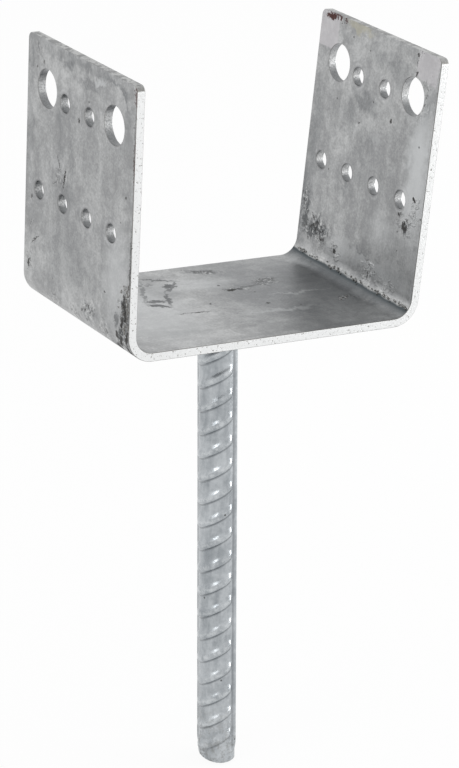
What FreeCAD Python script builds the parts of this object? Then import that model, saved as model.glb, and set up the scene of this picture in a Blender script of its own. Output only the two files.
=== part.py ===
import FreeCAD, Part
import math
import os
import Sketcher

# A post base for casting into concrete: a strap folded into a U takes the foot of a square timber
# post, and a ribbed reinforcing bar welded under it goes into the wet concrete.
# Frame: origin at the middle of the seat the post stands on, X across the U, Y along the strap's
# width, Z up.

doc = FreeCAD.newDocument("timber_post_base")

# every driving size, in millimetres or degrees
sizeRows = [
    ("post_width", 100.0, "side of the square post"),
    ("post_clearance", 0.5, "total play between the post and the two flanges at the seat"),
    ("strap_width", 70.0, "width of the steel strap"),
    ("strap_thickness", 2.8, "thickness of the strap with its zinc"),
    ("flange_height", 85.0, "flange height above the seat"),
    ("inner_bend_radius", 6.0, "inside radius of both folds"),
    ("left_spread", 1.2, "how far the left flange has sprung outward, degrees"),
    ("right_spread", 2.7, "how far the right flange has sprung outward, degrees"),
    ("corner_radius", 2.2, "rounding of the flange corners"),
    ("bolt_hole", 12.5, "bolt hole diameter"),
    ("bolt_spacing", 43.5, "distance between the two bolt holes"),
    ("bolt_height", 69.5, "bolt holes above the seat"),
    ("screw_hole", 6.0, "screw hole diameter"),
    ("screw_front_edge", 13.3, "first screw hole from the front edge"),
    ("screw_back_edge", 9.3, "last screw hole from the back edge"),
    ("low_screw_count", 4, "screw holes in the lower row"),
    ("low_screw_height", 35.4, "lower row above the seat"),
    ("high_screw_count", 2, "screw holes between the bolt holes"),
    ("high_screw_height", 67.8, "upper row above the seat"),
    ("stem_core", 12.4, "core diameter of the ribbed bar"),
    ("stem_length", 160.0, "bar length below the strap"),
    ("stem_offset", -0.5, "how far the bar was welded off the middle, across the U"),
    ("stem_turn", -32.0, "turn of the bar about its own axis, degrees"),
    ("stem_lean", 3.35, "how far the bar was welded out of square, degrees"),
    ("spine_height", 0.8, "height of the two lengthwise ribs"),
    ("spine_width", 2.2, "width of the lengthwise ribs"),
    ("spine_turn", -20.0, "lengthwise ribs from the bar's own X axis, degrees"),
    ("spine_stop", 4.0, "lengthwise ribs sheared off this far above the cropped end"),
    ("rib_pitch", 8.14, "spacing of the crescent ribs"),
    ("rib_slope", 28.0, "slope of the crescent ribs, degrees"),
    ("rib_fullness", 1.05, "crest radius share: at 1 a sloping rib just closes round the core"),
    ("rib_reach", 150.0, "how far a crescent rib runs round the bar, degrees"),
    ("rib_crest", 1.7, "width of a crescent rib at its crest"),
    ("rib_foot", 3.6, "width of a crescent rib at its root, just inside the core"),
    ("rib_root", 0.3, "how deep inside the core a crescent rib starts"),
    ("first_rib", 4.9, "first crescent rib below the strap"),
    ("plain_end", 6.0, "shortest plain length at the bar's lower end"),
    ("end_round", 4.9, "rounding of the cropped end"),
    ("end_shift", 3.0, "how far the rounding sits off the bar's axis"),
    ("weld_leg", 4.5, "leg of the fillet weld"),
    ("weld_toe", 1.2, "thickness of the weld at its lower edge"),
    ("weld_root", 1.5, "how deep the weld's own shape starts inside the bar"),
    ("spare", 3.0, "overlap used where one shape trims another"),
]

sheet = doc.addObject("Spreadsheet::Sheet", "Sizes")
# the screw rows spread over the strap's width between the two edge distances
workedOut = [
    ("screw_pitch", "=(strap_width - screw_front_edge - screw_back_edge) / (low_screw_count - 1)",
     "distance between neighbouring screw holes"),
]
for row, (name, value, meaning) in enumerate(sizeRows + workedOut, start=1):
    sheet.set("A%d" % row, name)
    sheet.set("B%d" % row, str(value))
    sheet.setAlias("B%d" % row, name)
    sheet.set("C%d" % row, meaning)
doc.recompute()


def size(name):
    return float(getattr(sheet, name))


def originPart(body, role):
    return next(item for item in body.Origin.OriginFeatures if item.Role == role)


def addBody(name):
    body = doc.addObject("PartDesign::Body", name)
    body.Label = name
    return body


def addSketch(body, plane, name):
    sketch = body.newObject("Sketcher::SketchObject", name)
    sketch.AttachmentSupport = [(originPart(body, plane), "")]
    sketch.MapMode = "FlatFace"
    return sketch


def bind(sketch, name, expression, kind, *where):
    # a dimension of the sketch that reads its value from the sheet
    index = sketch.addConstraint(Sketcher.Constraint(kind, *where))
    sketch.renameConstraint(index, name)
    sketch.setExpression("Constraints." + name, expression)


def relate(sketch, kind, *where):
    sketch.addConstraint(Sketcher.Constraint(kind, *where))


def point(x, y):
    return FreeCAD.Vector(x, y, 0)


def line(sketch, start, end, construction=False):
    return sketch.addGeometry(Part.LineSegment(point(*start), point(*end)), construction)


def arc(sketch, centre, radius, startDegrees, endDegrees):
    circle = Part.Circle(point(*centre), FreeCAD.Vector(0, 0, 1), radius)
    return sketch.addGeometry(
        Part.ArcOfCircle(circle, math.radians(startDegrees), math.radians(endDegrees)), False)


startPoint, endPoint, centrePoint = range(1, 4)
xAxis = -1                     # the sketch's own X axis; its first point is the origin


# ---- the folded strap ----

bracket = addBody("u_bracket")
profile = addSketch(bracket, "XZ_Plane", "strap_profile")

halfInner = (size("post_width") + size("post_clearance")) / 2
thickness = size("strap_thickness")
innerRadius = size("inner_bend_radius")
outerRadius = innerRadius + thickness
halfInnerText = "(Sizes.post_width + Sizes.post_clearance) / 2"


def addFlange(side, spreadName, label):
    # one fold and the flange above it; side is +1 on the right and -1 on the left
    spread = math.radians(size(spreadName))
    sine, cosine = math.sin(spread), math.cos(spread)
    centre = (side * (halfInner + innerRadius * (sine - 1) / cosine), innerRadius)
    top = (side * (halfInner + size("flange_height") * sine), size("flange_height") * cosine)
    topOuter = (top[0] + side * thickness * cosine, top[1] - thickness * sine)

    def onArc(radius):
        return (centre[0] + side * radius * cosine, centre[1] - radius * sine)

    spreadDegrees = size(spreadName)
    if side > 0:
        fromTo, foldSeatEnd, foldFlangeEnd = (-90, -spreadDegrees), startPoint, endPoint
    else:
        fromTo, foldSeatEnd, foldFlangeEnd = (180 + spreadDegrees, 270), endPoint, startPoint
    innerFold = arc(profile, centre, innerRadius, *fromTo)
    outerFold = arc(profile, centre, outerRadius, *fromTo)
    innerFace = line(profile, onArc(innerRadius), top)
    outerFace = line(profile, onArc(outerRadius), topOuter)
    topEdge = line(profile, top, topOuter)
    corner = profile.addGeometry(Part.Point(point(side * halfInner, 0)), True)

    relate(profile, "Coincident", innerFold, centrePoint, outerFold, centrePoint)
    relate(profile, "Tangent", innerFace, startPoint, innerFold, foldFlangeEnd)
    relate(profile, "Tangent", outerFace, startPoint, outerFold, foldFlangeEnd)
    relate(profile, "Coincident", innerFace, endPoint, topEdge, startPoint)
    relate(profile, "Coincident", outerFace, endPoint, topEdge, endPoint)
    relate(profile, "Parallel", innerFace, outerFace)
    relate(profile, "Perpendicular", topEdge, innerFace)
    relate(profile, "PointOnObject", corner, startPoint, xAxis)
    relate(profile, "PointOnObject", corner, startPoint, innerFace)
    slope = 90 - side * spreadDegrees
    sign = "-" if side > 0 else "+"
    bind(profile, label + "_slope", "(90 %s Sizes.%s) * 1 deg" % (sign, spreadName),
         "Angle", innerFace, math.radians(slope))
    ends = (xAxis, startPoint, corner, startPoint) if side > 0 else (corner, startPoint, xAxis, startPoint)
    bind(profile, label + "_reach", halfInnerText, "DistanceX", *ends, halfInner)
    bind(profile, label + "_height", "Sizes.flange_height",
         "Distance", corner, startPoint, innerFace, endPoint, size("flange_height"))
    return innerFold, outerFold, foldSeatEnd, centre


rightInner, rightOuter, rightEnd, rightCentre = addFlange(1, "right_spread", "right")
leftInner, leftOuter, leftEnd, leftCentre = addFlange(-1, "left_spread", "left")
seatLine = line(profile, (leftCentre[0], 0), (rightCentre[0], 0))
underLine = line(profile, (leftCentre[0], -thickness), (rightCentre[0], -thickness))
for flat, rightFold, leftFold in ((seatLine, rightInner, leftInner), (underLine, rightOuter, leftOuter)):
    relate(profile, "Tangent", flat, endPoint, rightFold, rightEnd)
    relate(profile, "Tangent", flat, startPoint, leftFold, leftEnd)
    relate(profile, "Horizontal", flat)
relate(profile, "PointOnObject", seatLine, startPoint, xAxis)
relate(profile, "Equal", rightInner, leftInner)
bind(profile, "fold_inside", "Sizes.inner_bend_radius", "Radius", rightInner, innerRadius)
bind(profile, "fold_outside", "Sizes.inner_bend_radius + Sizes.strap_thickness",
     "Radius", rightOuter, outerRadius)

strap = bracket.newObject("PartDesign::Pad", "strap")
strap.Profile = profile
strap.SideType = "Symmetric"
strap.setExpression("Length", "Sizes.strap_width")
doc.recompute()

cornerEdges = ["Edge%d" % number for number, edge in enumerate(strap.Shape.Edges, start=1)
               if abs(edge.Length - thickness) < thickness / 50
               and edge.BoundBox.Center.z > size("flange_height") / 2]
rounded = bracket.newObject("PartDesign::Fillet", "rounded_corners")
rounded.Base = (strap, cornerEdges)
rounded.setExpression("Radius", "Sizes.corner_radius")


def punch(name, holes, diameterName):
    # holes go straight across, through both flanges; each hole is (name, along, height) as expressions
    sketch = addSketch(bracket, "YZ_Plane", name + "_sketch")
    for label, along, alongText, height in holes:
        radius = size(diameterName) / 2
        circle = sketch.addGeometry(
            Part.Circle(point(along, size(height)), FreeCAD.Vector(0, 0, 1), radius), False)
        bind(sketch, label + "_bore", "Sizes." + diameterName, "Diameter", circle, 2 * radius)
        bind(sketch, label + "_along", alongText,
             "DistanceX", xAxis, startPoint, circle, centrePoint, along)
        bind(sketch, label + "_up", "Sizes." + height,
             "DistanceY", xAxis, startPoint, circle, centrePoint, size(height))
    pocket = bracket.newObject("PartDesign::Pocket", name)
    pocket.Profile = sketch
    pocket.SideType = "Symmetric"
    pocket.Type = "ThroughAll"
    return pocket


def repeatAlong(body, feature, name, axisRole, spacingText, countText, reverse=False):
    pattern = body.newObject("PartDesign::LinearPattern", name)
    pattern.Originals = [feature]
    pattern.Direction = (originPart(body, axisRole), [""])
    pattern.Reversed = reverse
    pattern.Mode = "Spacing"
    pattern.setExpression("Offset", spacingText)
    pattern.setExpression("Occurrences", countText)
    body.Tip = pattern
    return pattern


halfSpacing = size("bolt_spacing") / 2
punch("bolt_holes", [
    ("front_bolt", -halfSpacing, "-Sizes.bolt_spacing / 2", "bolt_height"),
    ("back_bolt", halfSpacing, "Sizes.bolt_spacing / 2", "bolt_height")], "bolt_hole")

firstScrew = size("screw_front_edge") - size("strap_width") / 2
firstScrewText = "Sizes.screw_front_edge - Sizes.strap_width / 2"
lowScrew = punch("low_screw_hole", [
    ("low_screw", firstScrew, firstScrewText, "low_screw_height")], "screw_hole")
repeatAlong(bracket, lowScrew, "low_screw_row", "Y_Axis", "Sizes.screw_pitch", "Sizes.low_screw_count")
highScrew = punch("high_screw_hole", [
    ("high_screw", firstScrew + size("screw_pitch"), firstScrewText + " + Sizes.screw_pitch",
     "high_screw_height")], "screw_hole")
repeatAlong(bracket, highScrew, "high_screw_row", "Y_Axis", "Sizes.screw_pitch", "Sizes.high_screw_count")


# ---- the ribbed bar, upright in its own frame, then leaned over at the weld ----

bar = addBody("stem_bar")
bar.setExpression("Placement", "placement(vector(Sizes.stem_offset; 0; -Sizes.strap_thickness); "
                               "rotation(Sizes.stem_turn; -Sizes.stem_lean; 0))")
coreRadius = size("stem_core") / 2


def padBar(sketch, name, lengthText):
    # from just above the underside of the strap down towards the cropped end
    pad = bar.newObject("PartDesign::Pad", name)
    pad.Profile = sketch
    pad.SideType = "Two sides"
    pad.setExpression("Length", "Sizes.spare")
    pad.setExpression("Length2", lengthText)
    return pad


coreSketch = addSketch(bar, "XY_Plane", "core_sketch")
coreCircle = coreSketch.addGeometry(Part.Circle(point(0, 0), FreeCAD.Vector(0, 0, 1), coreRadius), False)
relate(coreSketch, "Coincident", coreCircle, centrePoint, xAxis, startPoint)
bind(coreSketch, "core_bore", "Sizes.stem_core", "Diameter", coreCircle, 2 * coreRadius)
padBar(coreSketch, "core", "Sizes.stem_length")

# the two lengthwise ribs are one rounded bar section run right through the core
spineSketch = addSketch(bar, "XY_Plane", "spine_sketch")
spineRadius = size("spine_width") / 2
spineReach = coreRadius + size("spine_height") - spineRadius
spineTurn = size("spine_turn")
cosine, sine = math.cos(math.radians(spineTurn)), math.sin(math.radians(spineTurn))


def spinePoint(along, across):
    return (along * cosine - across * sine, along * sine + across * cosine)


farTip = arc(spineSketch, spinePoint(spineReach, 0), spineRadius, spineTurn - 90, spineTurn + 90)
nearTip = arc(spineSketch, spinePoint(-spineReach, 0), spineRadius, spineTurn + 90, spineTurn + 270)
upperSide = line(spineSketch, spinePoint(-spineReach, spineRadius), spinePoint(spineReach, spineRadius))
lowerSide = line(spineSketch, spinePoint(-spineReach, -spineRadius), spinePoint(spineReach, -spineRadius))
relate(spineSketch, "Tangent", upperSide, startPoint, nearTip, startPoint)
relate(spineSketch, "Tangent", upperSide, endPoint, farTip, endPoint)
relate(spineSketch, "Tangent", lowerSide, startPoint, nearTip, endPoint)
relate(spineSketch, "Tangent", lowerSide, endPoint, farTip, startPoint)
relate(spineSketch, "Equal", nearTip, farTip)
relate(spineSketch, "Symmetric", nearTip, centrePoint, farTip, centrePoint, xAxis, startPoint)
bind(spineSketch, "tip_radius", "Sizes.spine_width / 2", "Radius", farTip, spineRadius)
bind(spineSketch, "tip_spread", "Sizes.stem_core + 2 * Sizes.spine_height - Sizes.spine_width",
     "Distance", nearTip, centrePoint, farTip, centrePoint, 2 * spineReach)
bind(spineSketch, "spine_angle", "Sizes.spine_turn * 1 deg",
     "Angle", upperSide, math.radians(spineTurn))
padBar(spineSketch, "spines", "Sizes.stem_length - Sizes.spine_stop")

# a crescent rib is what stands out of the core where a sloping bevelled disc passes through it: it is
# highest across the slope and dies into the core on its way to the lengthwise ribs
ribSketch = addSketch(bar, "YZ_Plane", "rib_sketch")
ribSketch.setExpression("AttachmentOffset", "placement(vector(0; -Sizes.first_rib; 0); "
                                            "rotation(0; 0; -Sizes.rib_slope))")
crestShare = 1 + size("rib_fullness") * (1 / math.cos(math.radians(size("rib_slope"))) - 1)
crestText = "Sizes.stem_core / 2 * (1 + Sizes.rib_fullness * (1 / cos(Sizes.rib_slope * 1 deg) - 1))"
halfFoot, halfCrest = size("rib_foot") / 2, size("rib_crest") / 2
hubRadius, rootRadius = coreRadius / 2, coreRadius - size("rib_root")
ribCorners = [(-hubRadius, -halfFoot), (-rootRadius, -halfFoot), (-coreRadius * crestShare, -halfCrest),
              (-coreRadius * crestShare, halfCrest), (-rootRadius, halfFoot), (-hubRadius, halfFoot)]
ribLines = [line(ribSketch, ribCorners[index], ribCorners[(index + 1) % 6]) for index in range(6)]
lowSide, lowFlank, crest, highFlank, highSide, hub = ribLines
for index in range(6):
    relate(ribSketch, "Coincident", ribLines[index], endPoint, ribLines[(index + 1) % 6], startPoint)
for lower, upper in ((lowSide, highFlank), (lowFlank, crest)):
    relate(ribSketch, "Symmetric", lower, endPoint, upper, endPoint, xAxis)
relate(ribSketch, "Symmetric", hub, startPoint, hub, endPoint, xAxis)
bind(ribSketch, "hub_radius", "Sizes.stem_core / 4",
     "DistanceX", hub, startPoint, xAxis, startPoint, hubRadius)
bind(ribSketch, "root_radius", "Sizes.stem_core / 2 - Sizes.rib_root",
     "DistanceX", lowSide, endPoint, xAxis, startPoint, rootRadius)
bind(ribSketch, "crest_radius", crestText,
     "DistanceX", lowFlank, endPoint, xAxis, startPoint, coreRadius * crestShare)
bind(ribSketch, "foot", "Sizes.rib_foot", "DistanceY", hub, endPoint, hub, startPoint, 2 * halfFoot)
bind(ribSketch, "shoulder", "Sizes.rib_foot",
     "DistanceY", lowSide, endPoint, highSide, startPoint, 2 * halfFoot)
bind(ribSketch, "crest_width", "Sizes.rib_crest",
     "DistanceY", crest, startPoint, crest, endPoint, 2 * halfCrest)

rib = bar.newObject("PartDesign::Revolution", "crescent_rib")
rib.Profile = ribSketch
rib.ReferenceAxis = (ribSketch, ["V_Axis"])
rib.Midplane = True
rib.setExpression("Angle", "Sizes.rib_reach * 1 deg")

# the same rib again and again down the bar, and half a turn round on its other side
ribs = bar.newObject("PartDesign::MultiTransform", "crescent_ribs")
ribs.Originals = [rib]
down = doc.addObject("PartDesign::LinearPattern", "ribs_down")
around = doc.addObject("PartDesign::PolarPattern", "ribs_around")
bar.addObject(down)
bar.addObject(around)
down.Direction = (originPart(bar, "Z_Axis"), [""])
down.Reversed = True
down.Mode = "Spacing"
down.setExpression("Offset", "Sizes.rib_pitch")
down.setExpression("Occurrences", "floor((Sizes.stem_length - Sizes.plain_end - Sizes.first_rib) "
                                  "/ Sizes.rib_pitch) + 1")
around.Axis = (originPart(bar, "Z_Axis"), [""])
around.Angle = 360
around.Occurrences = 2
ribs.Transformations = [down, around]
bar.Tip = ribs

# the cropped end is rounded over, more on one side than on the other
endSketch = addSketch(bar, "XZ_Plane", "end_sketch")
endRound, endShift, spare = size("end_round"), size("end_shift"), size("spare")
outerReach = coreRadius + size("spine_height") + 2 * endShift
outerReachText = "Sizes.stem_core / 2 + Sizes.spine_height + 2 * Sizes.end_shift"
bottom = -size("stem_length")
endArc = arc(endSketch, (outerReach - endRound, bottom + endRound), endRound, -90, 0)
endPath = [(outerReach - endRound, bottom), (outerReach - endRound, bottom - spare),
           (outerReach + spare, bottom - spare), (outerReach + spare, bottom + endRound),
           (outerReach, bottom + endRound)]
dropLine, baseLine, sideLine, topLine = [line(endSketch, endPath[index], endPath[index + 1])
                                         for index in range(4)]
endAxis = line(endSketch, (endShift, bottom), (endShift, bottom + endRound), True)
relate(endSketch, "Coincident", endArc, startPoint, dropLine, startPoint)
relate(endSketch, "Coincident", dropLine, endPoint, baseLine, startPoint)
relate(endSketch, "Coincident", baseLine, endPoint, sideLine, startPoint)
relate(endSketch, "Coincident", sideLine, endPoint, topLine, startPoint)
relate(endSketch, "Coincident", topLine, endPoint, endArc, endPoint)
for upright in (dropLine, sideLine, endAxis):
    relate(endSketch, "Vertical", upright)
for level in (baseLine, topLine):
    relate(endSketch, "Horizontal", level)
relate(endSketch, "Vertical", endArc, centrePoint, endArc, startPoint)
relate(endSketch, "Horizontal", endArc, centrePoint, endArc, endPoint)
bind(endSketch, "round", "Sizes.end_round", "Radius", endArc, endRound)
bind(endSketch, "reach", outerReachText, "DistanceX", xAxis, startPoint, endArc, endPoint, outerReach)
bind(endSketch, "end_drop", "Sizes.stem_length", "DistanceY", endArc, startPoint, xAxis, startPoint,
     size("stem_length"))
bind(endSketch, "under", "Sizes.spare", "DistanceY", dropLine, endPoint, dropLine, startPoint, spare)
bind(endSketch, "beyond", "Sizes.spare", "DistanceX", topLine, endPoint, topLine, startPoint, spare)
bind(endSketch, "shift", "Sizes.end_shift", "DistanceX", xAxis, startPoint, endAxis, startPoint, endShift)
bind(endSketch, "axis_low", "Sizes.stem_length", "DistanceY", endAxis, startPoint, xAxis, startPoint,
     size("stem_length"))
bind(endSketch, "axis_length", "Sizes.end_round", "DistanceY", endAxis, startPoint, endAxis, endPoint,
     endRound)
croppedEnd = bar.newObject("PartDesign::Groove", "cropped_end")
croppedEnd.Profile = endSketch
croppedEnd.ReferenceAxis = (endSketch, ["Axis0"])
croppedEnd.Angle = 360

# the leaning bar is cut off level where it meets the underside of the strap
levelCut = doc.addObject("Part::Box", "level_cut")
levelCut.setExpression("Length", "Sizes.stem_core * 2")
levelCut.setExpression("Width", "Sizes.stem_core * 2")
levelCut.setExpression("Height", "Sizes.spare * 2")
levelCut.setExpression("Placement",
                       "placement(vector(Sizes.stem_offset - Sizes.stem_core; -Sizes.stem_core; "
                       "-Sizes.strap_thickness); rotation(0; 0; 0))")
stem = doc.addObject("Part::Cut", "ribbed_stem")
stem.Base = bar
stem.Tool = levelCut
stem.Label = "ribbed_stem"


# ---- the weld, a ring of filler shaped by the strap above it and the bar inside it ----

bead = addBody("weld_ring")
bead.setExpression("Placement", "placement(vector(Sizes.stem_offset; 0; -Sizes.strap_thickness); "
                                "rotation(0; 0; 0))")
beadSketch = addSketch(bead, "XZ_Plane", "weld_sketch")
leg, toe = size("weld_leg"), size("weld_toe")
inside = coreRadius - size("weld_root")
beadPath = [(inside, 0), (coreRadius + leg, 0)]
lowerPath = [(coreRadius + toe, -leg), (inside, -leg)]
beadTop = line(beadSketch, *beadPath)
beadFace = line(beadSketch, lowerPath[0], beadPath[1])
beadLow = line(beadSketch, *lowerPath)
beadInside = line(beadSketch, lowerPath[1], beadPath[0])
relate(beadSketch, "Coincident", beadTop, endPoint, beadFace, endPoint)
relate(beadSketch, "Coincident", beadFace, startPoint, beadLow, startPoint)
relate(beadSketch, "Coincident", beadLow, endPoint, beadInside, startPoint)
relate(beadSketch, "Coincident", beadInside, endPoint, beadTop, startPoint)
relate(beadSketch, "Horizontal", beadTop)
relate(beadSketch, "Horizontal", beadLow)
relate(beadSketch, "Vertical", beadInside)
relate(beadSketch, "PointOnObject", beadTop, startPoint, xAxis)
bind(beadSketch, "inside", "Sizes.stem_core / 2 - Sizes.weld_root",
     "DistanceX", xAxis, startPoint, beadTop, startPoint, inside)
bind(beadSketch, "leg_out", "Sizes.stem_core / 2 + Sizes.weld_leg",
     "DistanceX", xAxis, startPoint, beadTop, endPoint, coreRadius + leg)
bind(beadSketch, "leg_down", "Sizes.weld_leg", "DistanceY", beadLow, startPoint, xAxis, startPoint, leg)
bind(beadSketch, "toe", "Sizes.stem_core / 2 + Sizes.weld_toe",
     "DistanceX", xAxis, startPoint, beadLow, startPoint, coreRadius + toe)
ring = bead.newObject("PartDesign::Revolution", "filler")
ring.Profile = beadSketch
ring.ReferenceAxis = (beadSketch, ["V_Axis"])
ring.Angle = 360
weld = doc.addObject("Part::Cut", "weld_bead")
weld.Base = bead
weld.Tool = stem
weld.Label = "weld_bead"

doc.recompute()

# ---- check every feature, then write one file per piece ----

for item in doc.Objects:
    if {"Invalid", "Error"} & set(item.State):
        raise RuntimeError("%s did not build: %s" % (item.Name, item.State))
    if isinstance(item, Sketcher.Sketch) or not hasattr(item, "Shape"):
        continue
    if item.TypeId.startswith(("PartDesign::", "Part::")) and not item.Shape.isNull():
        if not item.Shape.isValid():
            raise RuntimeError("%s has a broken shape" % item.Name)

os.makedirs("parts", exist_ok=True)
for piece in (bracket, stem, weld):
    shape = piece.Shape
    if shape.isNull() or len(shape.Solids) != 1 or not shape.isValid():
        raise RuntimeError("%s is not one sound solid" % piece.Label)
    shape.exportStep("parts/%s.step" % piece.Label)
    box = shape.BoundBox
    print("%-12s %9.1f mm3  X %.2f..%.2f  Y %.2f..%.2f  Z %.2f..%.2f" % (
        piece.Label, shape.Volume, box.XMin, box.XMax, box.YMin, box.YMax, box.ZMin, box.ZMax))
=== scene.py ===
import math
import random
from functools import partial

import bmesh
import bpy
from mathutils import Matrix, Vector, noise


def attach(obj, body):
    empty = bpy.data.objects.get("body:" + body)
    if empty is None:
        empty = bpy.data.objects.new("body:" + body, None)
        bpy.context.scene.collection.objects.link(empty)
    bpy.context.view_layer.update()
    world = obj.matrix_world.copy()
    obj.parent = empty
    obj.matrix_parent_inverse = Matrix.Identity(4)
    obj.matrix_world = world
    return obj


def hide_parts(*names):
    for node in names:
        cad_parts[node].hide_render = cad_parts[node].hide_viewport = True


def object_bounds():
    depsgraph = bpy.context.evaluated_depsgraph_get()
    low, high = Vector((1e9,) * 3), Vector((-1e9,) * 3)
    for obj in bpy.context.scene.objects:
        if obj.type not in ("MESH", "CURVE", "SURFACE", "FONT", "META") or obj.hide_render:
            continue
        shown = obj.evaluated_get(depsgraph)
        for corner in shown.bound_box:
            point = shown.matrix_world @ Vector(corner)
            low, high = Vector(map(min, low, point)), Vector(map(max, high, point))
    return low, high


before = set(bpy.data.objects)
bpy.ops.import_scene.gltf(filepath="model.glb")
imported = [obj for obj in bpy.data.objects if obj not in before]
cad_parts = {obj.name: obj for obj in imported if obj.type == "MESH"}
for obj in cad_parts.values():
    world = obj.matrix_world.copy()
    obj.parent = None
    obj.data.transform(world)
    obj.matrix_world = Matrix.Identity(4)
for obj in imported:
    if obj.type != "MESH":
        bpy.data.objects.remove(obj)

# Timber post base: a galvanised strap folded into a U, on a ribbed bar that is cast into concrete.
cadLow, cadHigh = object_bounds()
mm = 0.001
scene = bpy.context.scene


def hexColour(text):  # sRGB hex to the linear colour a shader wants
    channels = [int(text[i:i + 2], 16) / 255 for i in (1, 3, 5)]
    linear = [c / 12.92 if c <= 0.04045 else ((c + 0.055) / 1.055) ** 2.4 for c in channels]
    return (*linear, 1.0)


def smooth(low, high, value):
    t = min(1.0, max(0.0, (value - low) / (high - low)))
    return t * t * (3 - 2 * t)


def addNode(tree, kind, inputs=(), output=0, **settings):
    # one node with its settings; each input is a number, a colour or the output of another node
    node = tree.nodes.new("ShaderNode" + kind)
    for name, value in settings.items():
        setattr(node, name, value)
    for key, value in inputs.items() if isinstance(inputs, dict) else enumerate(inputs):
        if isinstance(value, bpy.types.NodeSocket):
            tree.links.new(value, node.inputs[key])
        else:
            node.inputs[key].default_value = value
    return node.outputs if output is None else node.outputs[output]


def newMaterial(name):
    made = bpy.data.materials.new(name)
    made.use_nodes = True
    made.node_tree.nodes.clear()
    return made, made.node_tree


def newPiece(name, mesh, material, nodeName=None):
    piece = bpy.data.objects.new(name, mesh)
    scene.collection.objects.link(piece)
    mesh.materials.clear()
    mesh.materials.append(material)
    for polygon in mesh.polygons:
        polygon.use_smooth = True
    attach(piece, "root")
    if nodeName:
        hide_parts(nodeName)
    return piece


def meshFromRings(name, rows, capped=False, marks=None):
    # rings of points joined by quads, closed at both ends if capped; marks is one colour a point
    made = bmesh.new()
    rings = [[made.verts.new(p) for p in row] for row in rows]
    count = len(rings[0])
    for a, b in zip(rings, rings[1:]):
        for i in range(count):
            j = (i + 1) % count
            made.faces.new((a[i], a[j], b[j], b[i]))
    if capped:
        made.faces.new(list(reversed(rings[0])))
        made.faces.new(rings[-1])
    bmesh.ops.recalc_face_normals(made, faces=made.faces)
    mesh = bpy.data.meshes.new(name)
    made.to_mesh(mesh)
    made.free()
    if marks:
        layer = mesh.attributes.new("marks", "FLOAT_COLOR", "POINT")
        layer.data.foreach_set("color", [value for mark in marks for value in (*mark, 1.0)])
    return mesh


strapLook = {
    "dark": "#949596",        # zinc that has gone dull, mid grey
    "light": "#C6C7C7",       # fresher zinc between the dull clouds
    "dullAndShadePatch": "#66696C",
    "freshPatch": "#D2D4D5",
    "palePatch": "#CDCACD",
    "sandPatch": "#B3AF9C",   # faint yellow stain
    "smear": "#474A4C",       # dark torn smears where ash stuck
    "edgeZincAndSheen": "#E7E8E8",      # thick zinc along the cut edges, with a painted highlight
    "edgeDirt": "#6E6A64",
    "borderShade": "#6F6D69",      # painted shade: a thin grey line where an edge meets a face
    "topEdge": "#B6B7B6",
    "topDirt": "#6E6F70",
    "soot": "#3B3A38",        # dirt in the pits
    "rust": "#4A2621",        # red-brown where the zinc has gone
    "darkCrumb": "#363533",   # gritty dross, its dark and light crumbs
    "lightCrumb": "#DCDDDC",
    "fold": "#505659",        # painted shade inside the folds, below the beads
    "beads": "#BFC0BF",
    "holeRim": "#63656A",
    # a painted highlight on the walls of the holes
    "holeWallHighlight": "#C9CACA",
    "holeFloorShade": "#6C6E70",   # painted shade on the lower part of a hole's wall
    "holeRoofShade": "#85878A",    # painted shade on the upper part of a hole's wall
    "holeDirt": "#6E7072",
    "roughness": 0.42,
    "wallRoughness": 0.36,    # the walls of the punched holes
    "lowDown": 12.0,          # mm above the seat, well past the folds
    "foldStart": (43.0, 46.0),  # mm from the middle, where the seat turns into a fold
    "foldLine": 2.6,          # mm above the seat, where the drained zinc left a line of beads
    "foldWaver": (6.0, 1.4),  # mm, how long and how deep that line wanders
    "edgeStart": 33.6,        # mm from the middle, where the sheared edges begin
    "topStart": 78.0,         # mm above the seat, past the last hole
    "rimWidth": 0.9,          # mm, dull zinc round a screw hole
    "ringOut": 1.9,           # mm, from a screw hole to the faint ring round it
    "streakWidth": 5.0,       # mm, runs left by the draining zinc
    "streakLength": 45.0,
    "patch": 20.0,            # mm, cloudy dull and fresh areas
    "mottle": 3.2,            # mm, small blots in the zinc skin
    "grain": 0.8,             # mm, the fine grain of the skin, coarser than real so that it shows
    "spangle": 2.6,           # mm, grains of the zinc skin
    "crumb": 1.25,            # mm, gritty dross
    "grit": 0.55,             # mm, roughness one can feel
    "edgeGrit": 0.9,          # mm, pocks in the sheared edges
    "wallGrit": 0.6,          # mm, pocks in the walls of the holes
    "pinholes": 5.5,          # mm from one pin hole to the next
}
# the punched holes in mm; a row is its height and its first and last place along the pitch, and the
# walls of all holes lie between the two bands
punched = {"screwRadius": 3.0, "firstScrew": -21.7, "screwPitch": 15.8, "lowRow": (35.4, 0, 3),
           "highRow": (67.8, 1, 2), "lowBand": (20.0, 21.0), "highBand": (79.0, 78.0)}

# how each kind of mark is torn and how softly it ends: size and amount of the tearing in mm, then
# where it starts and stops fading as a share of its half size, and its outline
markEdges = {
    "dullAndShade": (5.0, 14.0, 0.30, 1.30, "round"),
    "fresh": (5.0, 12.0, 0.30, 1.30, "round"),
    "pale": (2.0, 2.0, 0.90, 1.02, "square"),
    "sand": (3.0, 10.0, 0.40, 1.20, "round"),
    "rust": (1.3, 5.0, 0.75, 1.05, "round"),
    "dross": (3.6, 14.0, 0.40, 1.20, "round"),
    "smear": (2.2, 6.0, 0.55, 1.20, "round"),
    "pit": (1.1, 2.6, 0.70, 1.15, "round"),
}
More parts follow.
